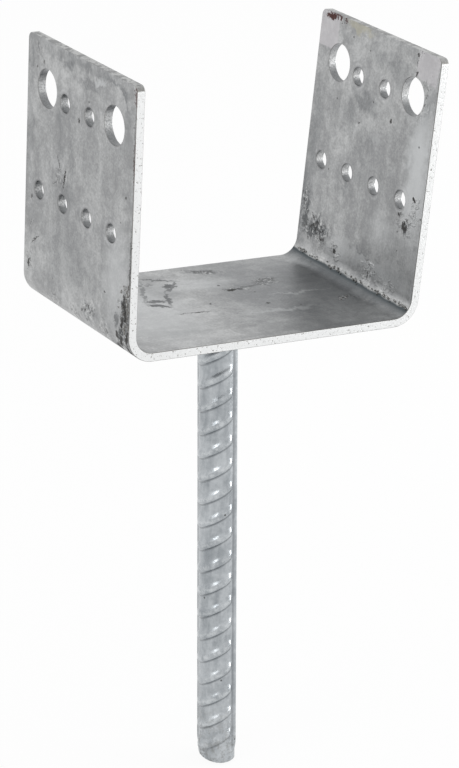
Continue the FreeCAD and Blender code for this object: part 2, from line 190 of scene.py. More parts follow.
# each mark: face, middle along it, middle up it, half sizes, turn in degrees, strength;
# along is Y and up is Z on the two flanges, and they are X and Y on the seat
strapMarks = {
    "dullAndShade": [
        ("left", 8.5, 81.5, 4.2, 3.6, 0, 0.62), ("left", -22.0, 82.8, 9.0, 1.4, 12, 0.50),
        ("left", -27.0, 80.5, 8.5, 1.2, 38, 0.55), ("left", -6.0, 78.5, 11.0, 1.2, -10, 0.36),
        ("left", -33.0, 8.0, 3.4, 11.0, 0, 0.45), ("left", -10.0, 6.0, 6.0, 4.0, 10, 0.38),
        ("left", 9.0, 40.0, 9.0, 5.0, 20, 0.28), ("left", 4.5, 50.0, 2.0, 14.0, 0, 0.26),
        ("left", 12.0, 58.0, 2.0, 12.0, 0, 0.26), ("left", 33.0, 60.0, 2.6, 26.0, 0, 0.30),
        ("left", 2.0, 83.0, 30.0, 1.8, 0, 0.30), ("left", 4.0, 21.0, 19.0, 12.0, 0, 0.24),
        ("left", -30.0, 74.0, 5.0, 3.0, 30, 0.25),
        ("right", 24.0, 12.0, 10.0, 5.0, -6, 0.60), ("right", 33.0, 17.0, 3.6, 16.0, 0, 0.55),
        ("right", 4.4, 60.5, 8.0, 3.4, 8, 0.45), ("right", 13.0, 55.0, 6.0, 5.0, 0, 0.22),
        ("right", -6.0, 77.0, 11.0, 3.6, 6, 0.34), ("right", -15.0, 74.0, 5.0, 5.0, 0, 0.30),
        ("right", 10.0, 30.0, 6.0, 2.6, 0, 0.30), ("right", -30.5, 66.0, 3.0, 9.0, 10, 0.42),
        ("right", -4.0, 12.0, 6.0, 1.0, 0, 0.35), ("right", 0.0, 44.0, 8.0, 9.0, 0, 0.18),
        ("right", 31.0, 45.0, 4.0, 22.0, 0, 0.30), ("right", -10.0, 2.0, 22.0, 2.6, 0, 0.30),
        # on the seat, the large patches at 4, 22 and 38 across are painted shade, darker towards the
        # right flange
        ("seat", -14.5, 14.0, 7.5, 12.5, -25, 0.36), ("seat", 22.0, 0.0, 22.0, 40.0, 0, 0.55),
        ("seat", 10.0, 28.0, 6.5, 2.4, 0, 0.55), ("seat", 12.0, 9.5, 6.0, 1.8, -6, 0.55),
        ("seat", 24.0, 11.5, 9.0, 1.5, 4, 0.45), ("seat", 38.0, 6.0, 17.0, 34.0, 0, 0.62),
        ("seat", -26.8, -21.1, 8.0, 3.4, -10, 0.34), ("seat", 4.0, -14.0, 10.0, 26.0, 0, 0.26),
    ],
    "fresh": [
        ("right", -29.0, 46.0, 7.5, 27.0, 0, 0.75), ("right", -12.0, 8.5, 20.0, 2.6, 4, 0.45),
        ("right", 10.0, 9.0, 9.0, 5.0, 0, 0.40), ("right", -14.0, 22.0, 9.0, 7.0, 0, 0.30),
        ("right", -4.0, 50.0, 4.0, 2.6, 0, 0.25), ("right", 8.0, 51.5, 2.4, 2.0, 0, 0.25),
        ("right", -24.0, 8.0, 9.0, 6.0, 0, 0.30), ("right", -33.6, 34.0, 1.6, 40.0, 0, 0.30),
        ("seat", -30.0, 0.0, 22.0, 34.0, 0, 0.45), ("seat", -2.0, 18.0, 20.0, 7.0, 0, 0.36),
        ("seat", 16.0, -14.0, 14.0, 1.6, -3, 0.40), ("seat", 30.0, -1.0, 11.0, 1.0, -3, 0.40),
        ("seat", 46.0, 26.0, 3.0, 8.0, 0, 0.30),
        ("left", -21.0, 33.5, 4.6, 0.9, -6, 0.50), ("left", -12.0, 81.0, 5.0, 1.4, -10, 0.50),
        ("left", -26.0, 22.0, 9.0, 18.0, 0, 0.40), ("left", 13.0, 46.0, 6.0, 3.0, 20, 0.25),
    ],
    "pale": [
        ("right", 29.6, 80.0, 5.8, 7.4, 0, 0.60), ("right", -28.4, 81.0, 6.0, 5.6, 8, 0.55),
    ],
    "sand": [
        ("right", 12.0, 84.0, 9.0, 2.4, 0, 0.65),
    ],
    "rust": [
        ("right", 29.0, 83.6, 3.4, 1.4, -8, 1.0), ("right", 26.4, 84.2, 2.4, 0.8, 0, 0.9),
        ("right", 23.6, 84.2, 1.0, 0.6, -10, 1.0), ("right", 20.4, 84.0, 0.7, 0.5, 0, 1.0),
        ("left", -34.9, 60.2, 0.5, 8.0, 0, 0.65), ("left", -34.6, 82.0, 0.8, 3.5, 0, 0.65),
    ],
    "dross": [
        ("left", -32.0, 10.0, 3.8, 12.0, 0, 1.0), ("left", -28.0, 1.0, 5.6, 4.8, -20, 1.0),
        ("left", -9.0, 6.5, 5.0, 4.0, 20, 0.85), ("left", 31.0, 10.0, 1.4, 4.0, 10, 0.7),
        ("left", 30.0, 24.0, 1.0, 2.4, 0, 0.6), ("left", 11.0, 44.0, 5.6, 3.4, 24, 0.55),
        ("left", 16.0, 2.4, 5.0, 2.4, 0, 0.6), ("left", 28.0, 80.0, 3.4, 3.0, 0, 0.4),
        ("left", -19.0, 3.0, 5.0, 3.0, -10, 0.7), ("left", 0.0, 2.0, 5.0, 2.4, 0, 0.6),
        ("right", 24.0, 12.0, 10.0, 5.4, -8, 0.95), ("right", 32.0, 20.0, 2.6, 6.0, 0, 0.8),
        ("right", 11.5, 8.0, 3.0, 2.0, 0, 0.8), ("right", -26.0, 27.6, 3.6, 3.4, 20, 1.0),
        ("right", -30.5, 34.0, 2.4, 4.0, 0, 0.8), ("right", -28.0, 70.0, 3.2, 8.0, 12, 0.7),
        ("right", -22.4, 81.0, 0.9, 5.0, 14, 0.9), ("right", -9.0, 8.0, 3.0, 4.0, 0, 0.7),
        ("right", -20.0, 6.0, 6.0, 2.6, 0, 0.5), ("right", 26.0, 84.0, 9.0, 1.0, -3, 0.7),
        ("seat", 10.0, 28.0, 6.0, 2.0, 0, 0.75), ("seat", 12.0, 9.5, 4.4, 1.4, -6, 0.8),
        ("seat", 25.0, 13.0, 5.0, 3.4, 10, 0.75), ("seat", 40.5, -10.8, 3.2, 1.4, 30, 1.0),
    ],
    "smear": [
        ("seat", -8.2, 25.3, 6.8, 0.9, -25, 0.75), ("seat", -20.8, 3.0, 4.8, 1.1, -34, 0.85),
        ("seat", -19.0, 16.6, 12.0, 0.8, 65, 0.55), ("seat", -7.5, 18.1, 6.8, 1.0, 43, 0.75),
        ("seat", -14.9, 7.1, 6.8, 1.0, 69, 0.75), ("seat", -8.4, 19.4, 2.8, 1.5, 20, 0.9),
        ("seat", -19.5, 7.0, 3.4, 1.6, -10, 0.8), ("seat", -14.0, 22.0, 2.4, 1.0, 40, 0.5),
        ("seat", 11.0, 9.0, 3.6, 1.3, -10, 0.9), ("seat", 25.0, 13.5, 5.5, 2.2, 10, 0.5),
        ("seat", 10.0, 28.2, 6.0, 1.8, -20, 0.75), ("seat", 18.0, 10.5, 5.0, 0.9, 4, 0.6),
        ("left", -31.5, 14.0, 1.4, 5.0, 0, 0.9), ("left", -30.0, 5.0, 2.0, 3.4, 20, 0.9),
        ("left", -24.5, 0.0, 4.0, 1.4, -24, 0.8), ("left", -27.0, 9.0, 1.2, 2.6, 10, 0.6),
        ("right", 25.5, 11.0, 5.0, 2.4, -30, 0.75), ("right", 31.0, 15.0, 1.6, 5.0, 10, 0.75),
        ("right", 20.0, 12.5, 2.6, 1.4, 20, 0.6), ("right", -26.4, 26.8, 1.6, 1.8, 0, 0.8),
    ],
    "pit": [
        ("left", 0.5, 64.9, 0.6, 0.7, 0, 1.0), ("left", 8.9, 44.2, 0.30, 4.4, 12, 1.0),
        ("left", 12.6, 47.5, 0.26, 3.4, -30, 0.7), ("left", 15.0, 41.0, 0.24, 2.4, 60, 0.5),
        ("left", 27.5, 18.6, 0.30, 3.2, 52, 0.8), ("left", -19.0, 15.7, 0.5, 0.6, 0, 0.9),
        ("left", -30.4, 49.3, 0.5, 0.5, 0, 0.8), ("left", -32.6, 13.0, 0.9, 3.4, -8, 1.0),
        ("left", -33.6, 5.0, 0.8, 3.0, 10, 1.0), ("left", -29.6, 3.0, 0.9, 2.4, 30, 1.0),
        ("left", -30.4, 9.4, 0.8, 2.6, 0, 1.0), ("left", -26.4, 0.0, 1.6, 1.2, 20, 1.0),
        ("left", -31.4, 17.0, 1.0, 2.0, 14, 0.9), ("left", -28.6, -2.2, 2.0, 0.8, -30, 1.0),
        ("left", -33.0, 0.4, 1.0, 1.8, 0, 1.0), ("left", -27.6, 4.6, 0.8, 1.6, -20, 0.9),
        ("left", 31.8, 9.4, 0.6, 1.4, 10, 0.9), ("left", -34.4, 28.0, 0.40, 13.0, 0, 0.75),
        ("left", -34.5, 66.0, 0.30, 12.0, 0, 0.45), ("left", 30.4, 32.0, 0.6, 0.8, 0, 0.7),
        ("left", 24.0, 77.5, 0.5, 0.8, 0, 0.6), ("left", 28.6, 75.0, 0.5, 0.6, 0, 0.6),
        ("right", -22.0, 30.6, 0.8, 0.6, 0, 0.9), ("right", -29.4, 37.6, 1.0, 0.6, 20, 1.0),
        ("right", -26.0, 27.0, 1.6, 1.0, 30, 0.9), ("right", 11.8, 7.8, 1.0, 0.8, 0, 0.9),
        ("right", 6.3, 53.2, 0.5, 0.5, 0, 0.9), ("right", -11.5, 58.7, 0.6, 0.6, 0, 0.9),
        ("right", 25.0, 13.0, 3.0, 0.7, -30, 0.6), ("right", 20.0, 9.4, 2.0, 0.6, 10, 0.6),
        ("right", -22.6, 77.0, 0.5, 1.0, 20, 0.9), ("right", -22.2, 83.0, 0.8, 0.5, 10, 0.9),
        ("right", -9.0, 6.0, 0.4, 1.6, 0, 0.8),
        ("seat", 14.2, -6.8, 0.8, 0.6, 0, 1.0), ("seat", 9.6, 8.6, 2.0, 0.8, 12, 1.0),
        ("seat", -11.5, -7.0, 4.4, 0.32, -8, 0.8), ("seat", -17.0, -6.2, 1.8, 0.3, 10, 0.6),
        ("seat", -4.0, -1.0, 0.5, 0.5, 0, 0.8), ("seat", 8.0, 14.0, 0.5, 0.6, 0, 0.7),
    ],
}


def spreadMarks(tree, marks, flat, inner, outer, outline):
    # the strongest of some torn blots, each laid on its own face
    strongest = 0.0
    for face, along, up, halfAlong, halfUp, turn, strength in marks:
        local = addNode(tree, "Mapping", {
            "Vector": flat[face], "Location": (along, up, 0.0),
            "Rotation": (0.0, 0.0, math.radians(turn)),
            "Scale": (halfAlong * outer, halfUp * outer, 1.0)}, vector_type="TEXTURE")
        near = addNode(tree, "TexGradient", {"Vector": local}, 1, gradient_type="SPHERICAL")
        if outline == "square":
            a, b, off = addNode(tree, "SeparateXYZ", [
                addNode(tree, "VectorMath", [local], operation="ABSOLUTE")], None)
            far = addNode(tree, "Math", [a, addNode(tree, "Math", [b, off], operation="MAXIMUM")],
                          operation="MAXIMUM")
            near = addNode(tree, "Math", [1.0, far], operation="SUBTRACT")
        blot = addNode(tree, "MapRange", [near, 0.0, 1 - inner / outer, 0.0, strength],
                       interpolation_type="SMOOTHSTEP")
        strongest = addNode(tree, "Math", [strongest, blot], operation="MAXIMUM")
    return strongest


def layColours(tree, skin, layers):
    # paints over the skin, one colour after another: each is (where, how strongly, hex)
    for where, share, colour in layers:
        cover = addNode(tree, "Math", [where, share], operation="MULTIPLY")
        skin = addNode(tree, "Mix", {0: cover, 6: skin, 7: hexColour(colour)}, 2, data_type="RGBA")
    return skin


def hotDippedStrap(look, holes):
    # galvanised steel sheet: the strap came out of molten zinc and drained, which leaves a dull cloudy
    # grey skin with faint runs, thick bright zinc on its edges, and gritty dross in the corners; a
    # highlight is painted on the edges, shade in the folds and over the seat, and highlight and shade on
    # the hole walls
    made, tree = newMaterial("hotDippedStrap")
    add, soft = partial(addNode, tree), {"interpolation_type": "SMOOTHSTEP"}
    spot = add("VectorMath", {0: add("TexCoord", output="Object"), "Scale": 1000.0},
               operation="SCALE")  # millimetres from here on
    x, y, z = add("SeparateXYZ", [spot], None)
    nx, ny, nz = add("SeparateXYZ", [add("TexCoord", output="Normal")], None)
    sideFacing, frontFacing = (add("Math", [n], operation="ABSOLUTE") for n in (nx, ny))
    offMiddle = add("Math", [x], operation="ABSOLUTE")

    # a flat sheet of millimetres for each named face; anywhere else on the strap is lifted far off it
    onLeftHalf = add("Math", [x, 0.0], operation="LESS_THAN")
    facesLeft = add("Math", [nx, -0.3], operation="LESS_THAN")
    facesUp = add("MapRange", [nz, 0.5, 0.8, 0.0, 1.0])
    lowDown = add("Math", [z, look["lowDown"]], operation="LESS_THAN")
    flat = {}
    for face, along, up, first, second in (
            ("left", y, z, onLeftHalf, facesLeft),
            ("right", y, z, add("Math", [1.0, onLeftHalf], operation="SUBTRACT"), facesLeft),
            ("seat", x, y, facesUp, lowDown)):
        onFace = add("Math", [first, second], operation="MULTIPLY")
        lifted = add("Math", [onFace, -1000.0, 1000.0], operation="MULTIPLY_ADD")
        flat[face] = add("CombineXYZ", [along, up, lifted])
    where = {}
    for kind, (tearSize, tear, inner, outer, outline) in markEdges.items():
        wave = add("TexNoise", {"Vector": spot, "Scale": 1 / tearSize, "Detail": 4.0, "Roughness": 0.65},
                   "Color")
        push = add("VectorMath", [wave, (tear, tear, 0.0), (-tear / 2, -tear / 2, 0.0)],
                   operation="MULTIPLY_ADD")
        torn = {face: add("VectorMath", [sheet, push], operation="ADD") for face, sheet in flat.items()}
        where[kind] = spreadMarks(tree, strapMarks[kind], torn, inner, outer, outline)

    # clouds, small blots, grains, and runs that go up the flanges and along the seat
    runs = add("CombineXYZ", [
        add("Math", [y, 1 / look["streakWidth"]], operation="MULTIPLY"),
        add("Math", [add("Math", [x, z], operation="ADD"), 1 / look["streakLength"]],
            operation="MULTIPLY"), onLeftHalf])
    streak = add("TexNoise", {"Vector": runs, "Scale": 1.0, "Detail": 4.0, "Roughness": 0.6,
                              "Distortion": 0.25})
    cloud = add("TexNoise", {"Vector": spot, "Scale": 1 / look["patch"], "Detail": 5.0,
                             "Roughness": 0.62, "Distortion": 0.6})
    mottle = add("TexNoise", {"Vector": spot, "Scale": 1 / look["mottle"], "Detail": 4.0,
                              "Roughness": 0.7})
    spangle = add("SeparateColor", [add("TexVoronoi", {"Vector": spot, "Scale": 1 / look["spangle"]},
                                        "Color")])
    grain = add("TexNoise", {"Vector": spot, "Scale": 1 / look["grain"], "Detail": 3.0,
                             "Roughness": 0.7})
    tone = 0.0
    for pattern, share in ((cloud, 0.36), (mottle, 0.16), (streak, 0.20), (grain, 0.19), (spangle, 0.04)):
        tone = add("Math", [pattern, share, tone], operation="MULTIPLY_ADD")
    skin = add("Mix", {0: add("MapRange", [tone, 0.37, 0.62, 0.0, 1.0], **soft),
                       6: hexColour(look["dark"]), 7: hexColour(look["light"])}, 2, data_type="RGBA")

    # the folds: painted shade, ever darker up to the drain line, and a thin gritty light line of beads
    # along it
    atFold = add("MapRange", [offMiddle, *look["foldStart"], 0.0, 1.0], **soft)
    concave = add("MapRange", [nz, 0.05, 0.25, 0.0, 1.0], **soft)
    atFold = add("Math", [add("Math", [atFold, concave], operation="MULTIPLY"), lowDown],
                 operation="MULTIPLY")
    waverLength, waverDepth = look["foldWaver"]
    waver = add("TexNoise", {"Vector": spot, "Scale": 1 / waverLength, "Detail": 3.0})
    height = add("Math", [waver, waverDepth, z], operation="MULTIPLY_ADD")
    line = look["foldLine"] + waverDepth / 2
    shadeBelowLine = add("Math", [add("MapRange", [height, line - 0.4, line + 0.2, 1.0, 0.0], **soft), atFold],
                operation="MULTIPLY")
    shadeBelowLine = add("Math", [shadeBelowLine, add("MapRange", [z, 0.0, 2.0, 0.15, 1.0])], operation="MULTIPLY")
    above = add("MapRange", [height, line - 0.2, line + 0.2, 0.0, 1.0], **soft)
    beads = add("MapRange", [height, line + 0.5, line + 1.5, 1.0, 0.0], **soft)
    beads = add("Math", [add("Math", [above, beads], operation="MULTIPLY"), atFold],
                operation="MULTIPLY")

    # dross: dark and light crumbs
    crumb = add("TexNoise", {"Vector": spot, "Scale": 1 / look["crumb"], "Detail": 4.0,
                             "Roughness": 0.72, "Distortion": 0.4})
    crumbZone = add("Math", [where["dross"], beads], operation="MAXIMUM")
    darkCrumb = add("Math", [add("MapRange", [crumb, 0.47, 0.39, 0.0, 1.0], **soft), where["dross"]],
                    operation="MULTIPLY")
    lightCrumb = add("Math", [add("MapRange", [crumb, 0.52, 0.60, 0.0, 1.0], **soft), crumbZone],
                     operation="MULTIPLY")

    # pin holes scattered over every face
    cell = add("TexVoronoi", {"Vector": spot, "Scale": 1 / look["pinholes"]}, None)
    chance = add("SeparateColor", [cell["Color"]], 1)
    specks = add("Math", [add("MapRange", [cell["Distance"], 0.045, 0.09, 1.0, 0.0], **soft),
                          add("Math", [chance, 0.70], operation="GREATER_THAN")], operation="MULTIPLY")
    pits = add("Math", [where["pit"], add("Math", [specks, 0.65], operation="MULTIPLY")],
               operation="MAXIMUM")

    # round each screw hole a dull rim and a faint wider ring, where zinc gathered
    along = add("Math", [add("Math", [y, holes["firstScrew"]], operation="SUBTRACT"),
                         1 / holes["screwPitch"]], operation="MULTIPLY")
    nearest = add("Math", [along], operation="ROUND")
    fromScrew = 1000.0
    for rowHeight, firstHole, lastHole in (holes["lowRow"], holes["highRow"]):
        sideways = add("Math", [along, add("Clamp", [nearest, firstHole, lastHole])],
                       operation="SUBTRACT")
        reach = add("CombineXYZ", [
            add("Math", [sideways, holes["screwPitch"]], operation="MULTIPLY"),
            add("Math", [z, rowHeight], operation="SUBTRACT"), 0.0])
        fromScrew = add("Math", [fromScrew, add("VectorMath", [reach], "Value", operation="LENGTH")],
                        operation="MINIMUM")
    onFlange = add("MapRange", [sideFacing, 0.6, 0.9, 0.0, 1.0])
    patchy = add("MapRange", [mottle, 0.42, 0.60, 0.1, 1.0], **soft)
    rim = add("MapRange", [fromScrew, holes["screwRadius"], holes["screwRadius"] + look["rimWidth"],
                           1.0, 0.0], **soft)
    offRing = add("Math", [fromScrew, holes["screwRadius"] + look["ringOut"]], operation="SUBTRACT")
    offRing = add("Math", [offRing], operation="ABSOLUTE")
    wideRing = add("MapRange", [offRing, 0.1, 0.6, 0.32, 0.0], **soft)
    rims = add("Math", [add("Math", [rim, wideRing], operation="MAXIMUM"),
                        add("Math", [onFlange, patchy], operation="MULTIPLY")], operation="MULTIPLY")

    # the walls of the holes: a painted highlight across the middle, painted shade above and below
    notEdge = add("Math", [add("Math", [y], operation="ABSOLUTE"), look["edgeStart"]],
                  operation="LESS_THAN")
    turnedIn = add("MapRange", [sideFacing, 0.8, 0.5, 0.0, 1.0])
    wall = add("Math", [notEdge, turnedIn], operation="MULTIPLY")
    for low, high in (holes["lowBand"], holes["highBand"]):
        wall = add("Math", [wall, add("MapRange", [z, low, high, 0.0, 1.0])], operation="MULTIPLY")
    wallFloorShade = add("Math", [wall, add("MapRange", [nz, 0.15, 0.75, 0.0, 1.0], **soft)],
                    operation="MULTIPLY")
    wallGrit = add("TexNoise", {"Vector": spot, "Scale": 1 / look["wallGrit"], "Detail": 4.0,
                                "Roughness": 0.75})
    wallDirt = add("Math", [wall, add("MapRange", [wallGrit, 0.52, 0.42, 0.0, 1.0], **soft)],
                   operation="MULTIPLY")
    wallRoofShade = add("Math", [wall, add("MapRange", [nz, -0.2, -0.7, 0.0, 1.0], **soft)],
                   operation="MULTIPLY")

    # the sheared edges at the front and back carry thick bright zinc with a painted highlight, dark grit
    # in it, and painted shade along their rounded borders
    edge = add("MapRange", [frontFacing, 0.55, 0.85, 0.0, 1.0], **soft)
    edge = add("Math", [edge, add("Math", [1.0, wall], operation="SUBTRACT")], operation="MULTIPLY")
    borderShade = add("Math", [add("MapRange", [frontFacing, 0.05, 0.25, 0.0, 1.0], **soft),
                          add("MapRange", [frontFacing, 0.995, 0.93, 0.0, 1.0], **soft)],
                 operation="MULTIPLY")
    borderShade = add("Math", [borderShade, add("Math", [1.0, wall], operation="SUBTRACT")], operation="MULTIPLY")
    edgeGrit = add("TexNoise", {"Vector": spot, "Scale": 1 / look["edgeGrit"], "Detail": 5.0,
                                "Roughness": 0.75})
    edgeDirt = add("Math", [edge, add("MapRange", [edgeGrit, 0.43, 0.35, 0.0, 1.0], **soft)],
                   operation="MULTIPLY")
    topEdge = add("Math", [add("MapRange", [nz, 0.4, 0.8, 0.0, 1.0]),
                           add("Math", [z, look["topStart"]], operation="GREATER_THAN")],
                  operation="MULTIPLY")
    topDirt = add("Math", [topEdge, add("MapRange", [mottle, 0.56, 0.42, 0.0, 1.0], **soft)],
                  operation="MULTIPLY")

    skin = layColours(tree, skin, [
        (where["dullAndShade"], 1.0, look["dullAndShadePatch"]), (where["fresh"], 1.0, look["freshPatch"]),
        (where["pale"], 1.0, look["palePatch"]), (where["sand"], 0.9, look["sandPatch"]),
        (shadeBelowLine, 1.0, look["fold"]), (rims, 0.60, look["holeRim"]),
        (where["smear"], 1.0, look["smear"]), (beads, 0.35, look["beads"]),
        (darkCrumb, 0.95, look["darkCrumb"]), (lightCrumb, 0.74, look["lightCrumb"]),
        (edge, 1.0, look["edgeZincAndSheen"]), (edgeDirt, 0.90, look["edgeDirt"]),
        (borderShade, 0.85, look["borderShade"]), (topEdge, 0.75, look["topEdge"]),
        (topDirt, 0.75, look["topDirt"]), (wall, 0.70, look["holeWallHighlight"]),
        (wallFloorShade, 0.75, look["holeFloorShade"]), (wallRoofShade, 0.60, look["holeRoofShade"]),
        (wallDirt, 0.55, look["holeDirt"]), (where["rust"], 1.0, look["rust"]),
        (pits, 1.0, look["soot"])])
    dirt = add("Math", [pits, where["rust"]], operation="MAXIMUM")
    rough = add("Math", [cloud, 0.22, look["roughness"] - 0.11], operation="MULTIPLY_ADD")
    rough = add("Math", [dirt, 0.3, rough], operation="MULTIPLY_ADD")
    rough = add("Math", [wall, look["wallRoughness"] - look["roughness"], rough],
                operation="MULTIPLY_ADD", use_clamp=True)
    metal = add("Math", [dirt, -0.8, 1.0], operation="MULTIPLY_ADD", use_clamp=True)
    relief = 0.0
    for height, share in (
            (add("TexNoise", {"Vector": spot, "Scale": 1 / look["grit"], "Detail": 2.0}), 0.10),
            (mottle, 0.30), (streak, 0.12), (pits, -0.5), (rims, 0.25),
            (add("Math", [crumbZone, crumb], operation="MULTIPLY"), 2.6),
            (add("Math", [add("Math", [edge, wall], operation="ADD"), edgeGrit],
                 operation="MULTIPLY"), 0.6)):
        relief = add("Math", [height, share, relief], operation="MULTIPLY_ADD")
    bump = add("Bump", {"Height": relief, "Strength": 0.35, "Distance": 0.0004})
    shader = add("BsdfPrincipled", {"Base Color": skin, "Roughness": rough, "Metallic": metal,
                                    "Normal": bump})
    add("OutputMaterial", {"Surface": shader}, None)
    return made


barLook = {
    "dark": "#93989C",
    "light": "#C0C4C7",
    "crest": "#E4E7E8",       # painted highlight on the crescent ribs
    "ribShadowLine": "#63666A",     # painted shadow under each crescent rib
    "spineShadeLine": "#6C7074",   # painted shade at the foot of the lengthwise ribs
    "scuff": "#77756F",
    "soot": "#3E3D3B",        # dirt in the pin holes
    "roughness": 0.30,
    "runWidth": 3.0,          # mm, soft runs down the bar
    "runLength": 15.0,
    "patch": 9.0,             # mm, cloudy areas
    "ruffle": 1.6,            # mm, small ruffles in the zinc
    "grit": 0.45,             # mm, roughness one can feel
    "scuffs": 1.8,            # mm
    "pinholes": 4.5,          # mm from one pin hole to the next
    "morePinholes": (-90.0, -160.0),  # mm, ever more of them from here to here
    "worn": (-132.0, -160.0),  # mm, scuffed ever more from here to here
}


def hotDippedBar(look):
    # galvanised ribbed bar: the zinc ran off its smooth skin, so it is silkier and lighter than the
    # strap, with soft painted highlights on the crescent ribs and a painted shadow line where each one
    # rises
    made, tree = newMaterial("hotDippedBar")
    add, soft = partial(addNode, tree), {"interpolation_type": "SMOOTHSTEP"}
    spot = add("VectorMath", {0: add("TexCoord", output="Object"), "Scale": 1000.0}, operation="SCALE")
    z = add("SeparateXYZ", [spot], 2)
    drawn = add("VectorMath", [spot, (1 / look["runWidth"], 1 / look["runWidth"], 1 / look["runLength"])],
                operation="MULTIPLY")
    runs = add("TexNoise", {"Vector": drawn, "Scale": 1.0, "Detail": 4.0, "Roughness": 0.6,
                            "Distortion": 0.2})
    cloud = add("TexNoise", {"Vector": spot, "Scale": 1 / look["patch"], "Detail": 5.0,
                             "Roughness": 0.65, "Distortion": 0.3})
    ruffle = add("TexNoise", {"Vector": spot, "Scale": 1 / look["ruffle"], "Detail": 4.0,
                              "Roughness": 0.65})
    tone = 0.0
    for pattern, share in ((runs, 0.40), (cloud, 0.35), (ruffle, 0.25)):
        tone = add("Math", [pattern, share, tone], operation="MULTIPLY_ADD")
    skin = add("Mix", {0: add("MapRange", [tone, 0.34, 0.66, 0.0, 1.0], **soft),
                       6: hexColour(look["dark"]), 7: hexColour(look["light"])}, 2, data_type="RGBA")
    cell = add("TexVoronoi", {"Vector": spot, "Scale": 1 / look["pinholes"]}, None)
    chance = add("SeparateColor", [cell["Color"]], 1)
    low = add("MapRange", [z, *look["morePinholes"], 0.92, 0.55])
    specks = add("Math", [add("MapRange", [cell["Distance"], 0.05, 0.11, 1.0, 0.0], **soft),
                          add("Math", [chance, low], operation="GREATER_THAN")], operation="MULTIPLY")
    scuffs = add("TexNoise", {"Vector": spot, "Scale": 1 / look["scuffs"], "Detail": 5.0,
                              "Roughness": 0.75})
    scuffed = add("Math", [add("MapRange", [z, *look["worn"], 0.0, 1.0], **soft),
                           add("MapRange", [scuffs, 0.46, 0.62, 0.0, 1.0], **soft)],
                  operation="MULTIPLY")
    marks = add("Attribute", output="Color", attribute_name="marks", attribute_type="GEOMETRY")
    # marks: painted shadow under the crescent ribs, painted crest highlight, painted shade at the spines'
    # feet
    line, crest, spineFoot = add("SeparateColor", [marks], None)
    highlightFlecks = add("Math", [crest, add("MapRange", [ruffle, 0.42, 0.60, 0.1, 0.9], **soft)],
                  operation="MULTIPLY")
    skin = layColours(tree, skin, [
        (highlightFlecks, 0.35, look["crest"]), (line, 0.62, look["ribShadowLine"]),
        (spineFoot, 0.62, look["spineShadeLine"]), (scuffed, 0.45, look["scuff"]),
        (specks, 0.80, look["soot"])])
    rough = add("Math", [cloud, 0.2, look["roughness"] - 0.1], operation="MULTIPLY_ADD")
    rough = add("Math", [crest, -0.06, rough], operation="MULTIPLY_ADD")
    rough = add("Math", [scuffed, 0.15, rough], operation="MULTIPLY_ADD", use_clamp=True)
    relief = 0.0
    for height, share in (
            (add("TexNoise", {"Vector": spot, "Scale": 1 / look["grit"], "Detail": 2.0}), 0.08),
            (ruffle, 0.45), (scuffed, 0.30), (specks, -0.4)):
        relief = add("Math", [height, share, relief], operation="MULTIPLY_ADD")
    bump = add("Bump", {"Height": relief, "Strength": 0.4, "Distance": 0.0004})
    shader = add("BsdfPrincipled", {"Base Color": skin, "Roughness": rough, "Metallic": 1.0,
                                    "Normal": bump})
    add("OutputMaterial", {"Surface": shader}, None)
    return made


weldLook = {
    "dark": "#6C6E70",
    "light": "#A6A8AA",
    "roughness": 0.55,
    "ash": 2.5,               # mm, blots of ash in the zinc
    "grit": 0.6,              # mm, roughness one can feel
}


def hotDippedWeld(look):
    # galvanised weld: coarse ripples with ash and flux left in the zinc, so it is darker and rough
    made, tree = newMaterial("hotDippedWeld")
    add, soft = partial(addNode, tree), {"interpolation_type": "SMOOTHSTEP"}
    spot = add("VectorMath", {0: add("TexCoord", output="Object"), "Scale": 1000.0}, operation="SCALE")
    cloud = add("TexNoise", {"Vector": spot, "Scale": 1 / look["ash"], "Detail": 5.0,
                             "Roughness": 0.7, "Distortion": 0.3})
    skin = add("Mix", {0: add("MapRange", [cloud, 0.40, 0.62, 0.0, 1.0], **soft),
                       6: hexColour(look["dark"]), 7: hexColour(look["light"])}, 2, data_type="RGBA")
    grit = add("TexNoise", {"Vector": spot, "Scale": 1 / look["grit"], "Detail": 3.0,
                            "Roughness": 0.65})
    bump = add("Bump", {"Height": grit, "Strength": 0.5, "Distance": 0.0004})
    shader = add("BsdfPrincipled", {"Base Color": skin, "Roughness": look["roughness"], "Metallic": 0.9,
                                    "Normal": bump})
    add("OutputMaterial", {"Surface": shader}, None)
    return made


strapZinc = hotDippedStrap(strapLook, punched)
barZinc = hotDippedBar(barLook)
weldZinc = hotDippedWeld(weldLook)
print("materials made", sum(len(m.node_tree.nodes) for m in (strapZinc, barZinc, weldZinc)), "nodes")


# the folded strap is the solid's own shape with its edges softened by the zinc
strapSize = {  # mm and degrees
    "halfInner": 50.25, "thickness": 2.8, "foldRadius": 6.0, "leftSpread": 1.2,
    "samePoint": 0.002, "flatTurn": 0.4, "sharpTurn": 40, "edgeRound": 0.38, "segments": 3,
}
strapCopy = bmesh.new()
strapCopy.from_mesh(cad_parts["u_bracket"].data)
bmesh.ops.remove_doubles(strapCopy, verts=strapCopy.verts, dist=strapSize["samePoint"] * mm)
bmesh.ops.dissolve_limit(strapCopy, angle_limit=math.radians(strapSize["flatTurn"]),
                         verts=strapCopy.verts, edges=strapCopy.edges)
sharp = [e for e in strapCopy.edges if len(e.link_faces) == 2
         and e.calc_face_angle() > math.radians(strapSize["sharpTurn"])]
bmesh.ops.bevel(strapCopy, geom=sharp, offset=strapSize["edgeRound"] * mm,
                segments=strapSize["segments"], profile=0.5, affect="EDGES", clamp_overlap=True)
strapMesh = bpy.data.meshes.new("zincStrap")
strapCopy.to_mesh(strapMesh)
strapCopy.free()
strapPiece = newPiece("zincStrap", strapMesh, strapZinc, "u_bracket")
weighted = strapPiece.modifiers.new("evenNormals", "WEIGHTED_NORMAL")
weighted.keep_sharp = True
print("strap made", len(strapMesh.polygons))


